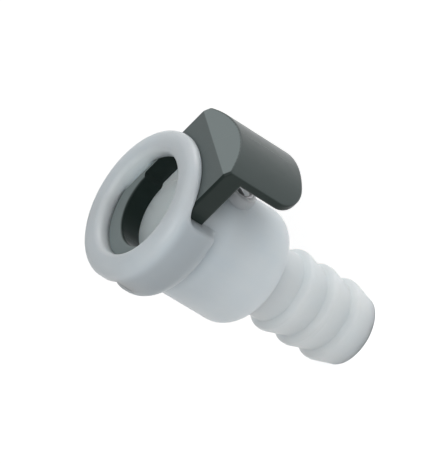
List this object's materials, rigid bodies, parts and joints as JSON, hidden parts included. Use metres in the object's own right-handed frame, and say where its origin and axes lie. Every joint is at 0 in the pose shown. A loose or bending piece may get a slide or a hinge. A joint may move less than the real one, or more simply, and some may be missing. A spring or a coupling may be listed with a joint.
{
  "type": "plastic quick disconnect coupling",
  "caption": "Female in-line tube coupling with a side thumb latch, a spring shut-off valve and a hose barb, moulded in plastic.",
  "frame": {"origin": "centre of the barb's end face, on the coupling's axis, where it stands", "axes": "+Z along the axis, from the barb to the mouth; +Y towards the thumb pad; +X completes the right-handed frame"},
  "size_m": [0.021, 0.0262, 0.038],
  "materials": {
    "natural_plastic": "satin, slightly translucent",
    "latch_plastic": "satin",
    "valve_plastic": "satin",
    "spring_steel": "drawn wire",
    "seal_rubber": "smooth"
  },
  "bodies": {
    "body": {"coupling_body": "natural_plastic", "valve_seat": "valve_plastic", "latch_spring": "spring_steel", "valve_spring": "spring_steel"},
    "latch": {"thumb_latch": "latch_plastic"},
    "poppet": {"valve_poppet": "valve_plastic", "poppet_o_ring": "seal_rubber"}
  },
  "joints": [
    {"name": "latch_press", "type": "slide", "parent": "body", "child": "latch", "axis": [0, -1, 0], "range_m": [0, 0.0009], "stiffness_N_per_m": 800, "springref_m": -0.0025, "deforming": ["latch_spring"]},
    {"name": "valve_open", "type": "slide", "parent": "body", "child": "poppet", "axis": [0, 0, -1], "range_m": [0, 0.002], "stiffness_N_per_m": 500, "springref_m": -0.003, "deforming": ["valve_spring"]}
  ]
}
